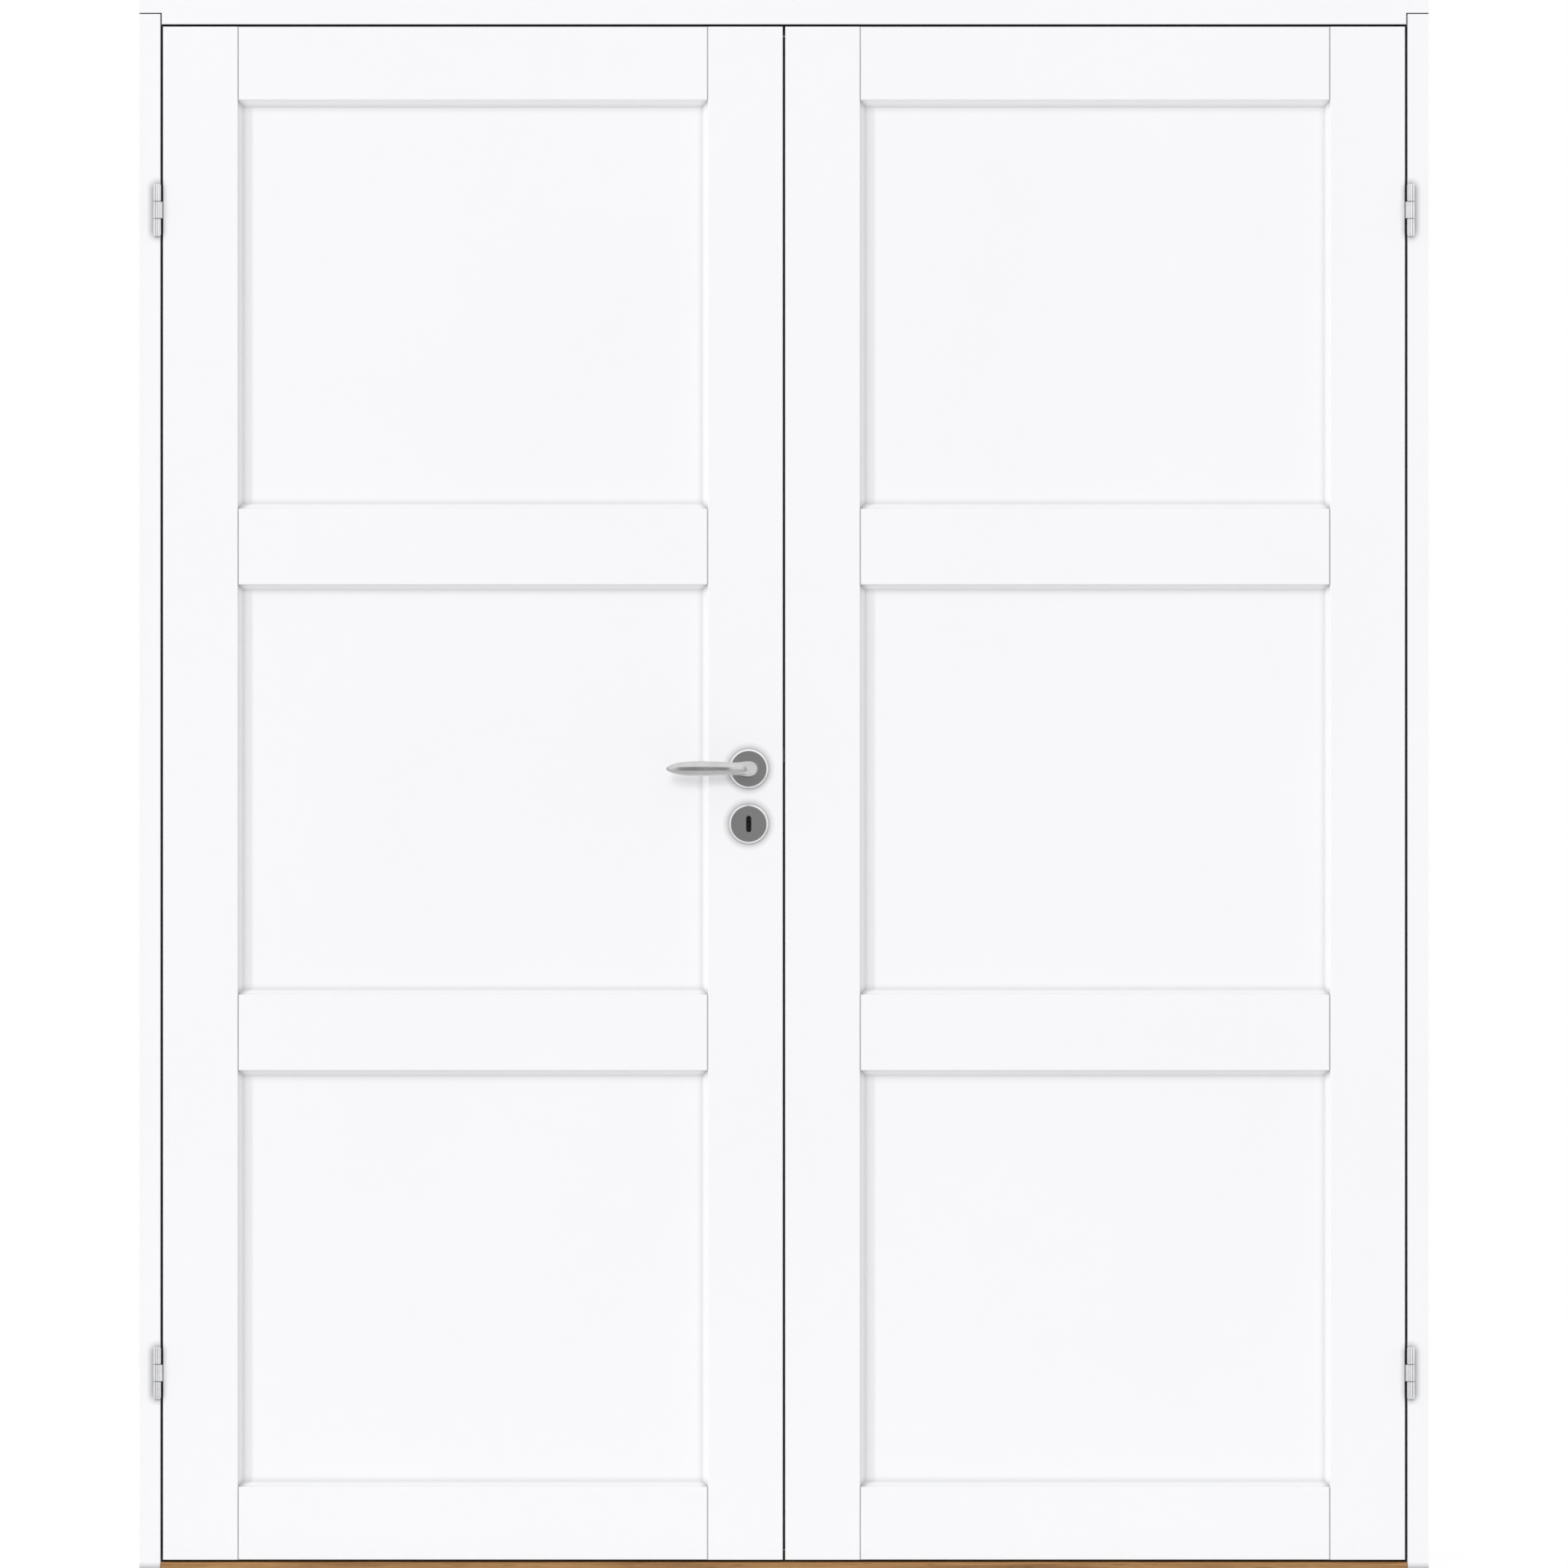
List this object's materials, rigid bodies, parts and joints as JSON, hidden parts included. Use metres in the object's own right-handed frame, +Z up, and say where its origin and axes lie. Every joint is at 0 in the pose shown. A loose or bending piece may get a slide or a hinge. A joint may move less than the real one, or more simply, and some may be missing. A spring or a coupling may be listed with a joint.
{
  "type": "panelled double door with frame",
  "caption": "Pair of white three-panel interior doors in a rebated frame with an oak threshold, barrel hinges, lever handle, mortice lock and flush bolts.",
  "frame": {"origin": "on the floor, midway between the jambs and midway through the frame's depth", "axes": "+X to the viewer's right, +Y from the front to the back, +Z up; the leaves open towards -Y"},
  "size_m": [1.716, 0.151, 2.088],
  "materials": {
    "white_lacquer": "satin white lacquer",
    "oak": "clear satin oak",
    "seal_rubber": "matt black",
    "hinge_nickel": "bright nickel plate",
    "handle_steel": "satin polished stainless steel",
    "rose_steel": "brushed stainless steel",
    "lock_steel": "zinc plated steel",
    "screw_steel": "bright zinc plate",
    "sleeve_zinc": "yellow passivated zinc"
  },
  "bodies": {
    "frame": {"left_jamb": "white_lacquer", "right_jamb": "white_lacquer", "head": "white_lacquer", "threshold": "oak", "left_seal": "seal_rubber", "right_seal": "seal_rubber", "head_seal": "seal_rubber", "upper_left_frame_hinge": "hinge_nickel", "lower_left_frame_hinge": "hinge_nickel", "upper_right_frame_hinge": "hinge_nickel", "lower_right_frame_hinge": "hinge_nickel", "hinge_pins": "hinge_nickel", "frame_hinge_screws": "screw_steel", "frame_sleeves": "sleeve_zinc", "top_bolt_keeper": "lock_steel", "bottom_bolt_keeper": "lock_steel"},
    "active_leaf": {"active_hinge_stile": "white_lacquer", "active_lock_stile": "white_lacquer", "active_top_rail": "white_lacquer", "active_upper_rail": "white_lacquer", "active_lower_rail": "white_lacquer", "active_bottom_rail": "white_lacquer", "active_top_panel": "white_lacquer", "active_middle_panel": "white_lacquer", "active_bottom_panel": "white_lacquer", "upper_left_leaf_hinge": "hinge_nickel", "lower_left_leaf_hinge": "hinge_nickel", "lock_case": "lock_steel", "lock_cover": "lock_steel", "lock_forend": "lock_steel", "front_rose": "rose_steel", "back_rose": "rose_steel", "front_escutcheon": "rose_steel", "back_escutcheon": "rose_steel", "active_leaf_screws": "screw_steel"},
    "passive_leaf": {"passive_meeting_stile": "white_lacquer", "passive_hinge_stile": "white_lacquer", "passive_top_rail": "white_lacquer", "passive_upper_rail": "white_lacquer", "passive_lower_rail": "white_lacquer", "passive_bottom_rail": "white_lacquer", "passive_top_panel": "white_lacquer", "passive_middle_panel": "white_lacquer", "passive_bottom_panel": "white_lacquer", "upper_right_leaf_hinge": "hinge_nickel", "lower_right_leaf_hinge": "hinge_nickel", "strike_plate": "lock_steel", "cover_strip": "white_lacquer", "top_bolt_plate": "lock_steel", "bottom_bolt_plate": "lock_steel", "passive_leaf_screws": "screw_steel"},
    "lever_handle": {"front_lever": "handle_steel", "back_lever": "handle_steel", "spindle": "lock_steel", "follower": "lock_steel", "grub_screws": "lock_steel"},
    "latch": {"latch_bolt": "lock_steel"},
    "deadbolt": {"dead_bolt": "lock_steel"},
    "top_bolt": {"top_flush_bolt": "lock_steel"},
    "bottom_bolt": {"bottom_flush_bolt": "lock_steel"}
  },
  "joints": [
    {"name": "active_leaf_swing", "type": "hinge", "parent": "frame", "child": "active_leaf", "pos_m": [-0.8341, -0.0525, 1], "axis": [0, 0, -1], "range_deg": [0, 170]},
    {"name": "passive_leaf_swing", "type": "hinge", "parent": "frame", "child": "passive_leaf", "pos_m": [0.8341, -0.0525, 1], "axis": [0, 0, 1], "range_deg": [0, 170]},
    {"name": "lever_turn", "type": "hinge", "parent": "active_leaf", "child": "lever_handle", "pos_m": [-0.047, -0.026, 1.065], "axis": [0, -1, 0], "range_deg": [0, 45], "stiffness_Nm_per_rad": 1.5, "springref_deg": -20.05},
    {"name": "latch_slide", "type": "slide", "parent": "active_leaf", "child": "latch", "axis": [-1, 0, 0], "range_m": [0, 0.011]},
    {"name": "dead_bolt_slide", "type": "slide", "parent": "active_leaf", "child": "deadbolt", "axis": [1, 0, 0], "range_m": [0, 0.014]},
    {"name": "top_bolt_slide", "type": "slide", "parent": "passive_leaf", "child": "top_bolt", "axis": [0, 0, 1], "range_m": [0, 0.011]},
    {"name": "bottom_bolt_slide", "type": "slide", "parent": "passive_leaf", "child": "bottom_bolt", "axis": [0, 0, -1], "range_m": [0, 0.011]}
  ],
  "couplings": [
    {"joint": "latch_slide", "follows": "lever_turn", "m_per_rad": 0.014}
  ]
}
